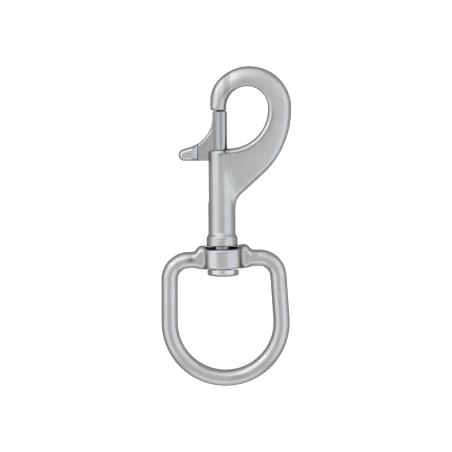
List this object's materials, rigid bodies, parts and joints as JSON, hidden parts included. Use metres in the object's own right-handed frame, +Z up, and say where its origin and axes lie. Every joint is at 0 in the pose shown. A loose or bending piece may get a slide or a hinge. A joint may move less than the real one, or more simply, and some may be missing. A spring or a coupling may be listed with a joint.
{
  "type": "swivel snap hook",
  "caption": "Stainless steel swivel snap hook with a spring bolt, a side thumb lever and a round-footed D eye.",
  "frame": {"origin": "on the surface that the hook lies on, under the middle of its box", "axes": "+Y along the barrel from the eye to the bow, +X to the side where the bow's web is, +Z up from the surface"},
  "size_m": [0.0394, 0.096, 0.0122],
  "materials": {
    "cast_steel": "tumbled satin",
    "bolt_steel": "polished",
    "spring_steel": "drawn wire",
    "pin_steel": "turned, lightly polished",
    "eye_steel": "polished satin"
  },
  "bodies": {
    "hook": {"hook_body": "cast_steel", "swivel_pin": "pin_steel", "bolt_spring": "spring_steel"},
    "bolt": {"bolt": "bolt_steel"},
    "eye": {"swivel_eye": "eye_steel"}
  },
  "joints": [
    {"name": "bolt_slide", "type": "slide", "parent": "hook", "child": "bolt", "axis": [0, -1, 0], "range_m": [0, 0.01179], "stiffness_N_per_m": 400, "springref_m": -0.006, "deforming": ["bolt_spring"]},
    {"name": "eye_swivel", "type": "hinge", "parent": "hook", "child": "eye", "pos_m": [-0.00134, -0.00978, 0.00606], "axis": [0, 1, 0], "continuous": true}
  ]
}
